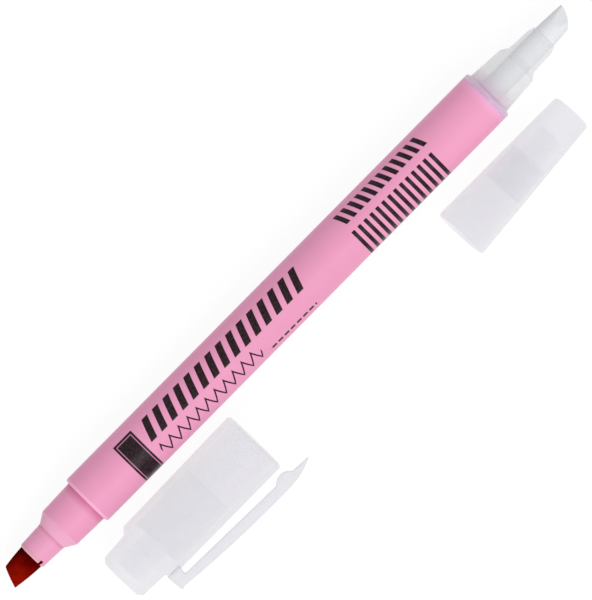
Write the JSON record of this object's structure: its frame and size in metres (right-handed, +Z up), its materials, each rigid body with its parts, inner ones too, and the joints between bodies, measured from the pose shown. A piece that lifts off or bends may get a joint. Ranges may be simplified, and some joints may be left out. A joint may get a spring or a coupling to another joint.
{
  "type": "double-ended highlighter",
  "caption": "Slim double-ended highlighter with a dark red chisel nib, a white eraser nib, a pink barrel and frosted caps lying beside it, the longer cap with a pocket clip.",
  "frame": {"origin": "bottom centre of the bounding box of the whole layout: pen and both caps lying on one flat surface at z = 0", "axes": "+X along the pen from the ink nib to the eraser nib, +Z up from the surface, +Y from the caps towards the pen"},
  "size_m": [0.1376, 0.0284, 0.0125],
  "materials": {
    "barrel_pink": "satin moulded pink",
    "ink_nib_felt": "ink-soaked pressed fibre",
    "ink_fibre": "ink-soaked fibre rod",
    "eraser_fibre": "white fibre rod",
    "film": "thin clear film",
    "stopper_white": "moulded white",
    "clear_holder": "translucent, faint lilac tint",
    "eraser_nib_felt": "white pressed fibre",
    "clear_cap": "frosted translucent",
    "clear_seal": "frosted translucent"
  },
  "bodies": {
    "pen": {"barrel": "barrel_pink", "ink_nib": "ink_nib_felt", "ink_reservoir": "ink_fibre", "ink_reservoir_film": "film", "stopper": "stopper_white", "eraser_reservoir": "eraser_fibre", "eraser_reservoir_film": "film", "nib_holder": "clear_holder", "eraser_nib": "eraser_nib_felt"},
    "large_cap": {"large_cap": "clear_cap", "large_cap_seal": "clear_seal"},
    "clip": {"pocket_clip": "clear_cap"},
    "small_cap": {"small_cap": "clear_cap", "small_cap_seal": "clear_seal"}
  },
  "joints": [
    {"name": "large_cap_pull", "type": "slide", "parent": "pen", "child": "large_cap", "axis": [1, 0.0099, 0], "range_m": [-0.048, 0]},
    {"name": "clip_flex", "type": "hinge", "parent": "large_cap", "child": "clip", "pos_m": [-0.04669, -0.01246, 0.00604], "axis": [0.0083, 0.0001, -1], "range_deg": [0, 5], "stiffness_Nm_per_rad": 0.27},
    {"name": "small_cap_pull", "type": "slide", "parent": "pen", "child": "small_cap", "axis": [0.9991, 0.0414, 0], "range_m": [0, 0.041]}
  ]
}
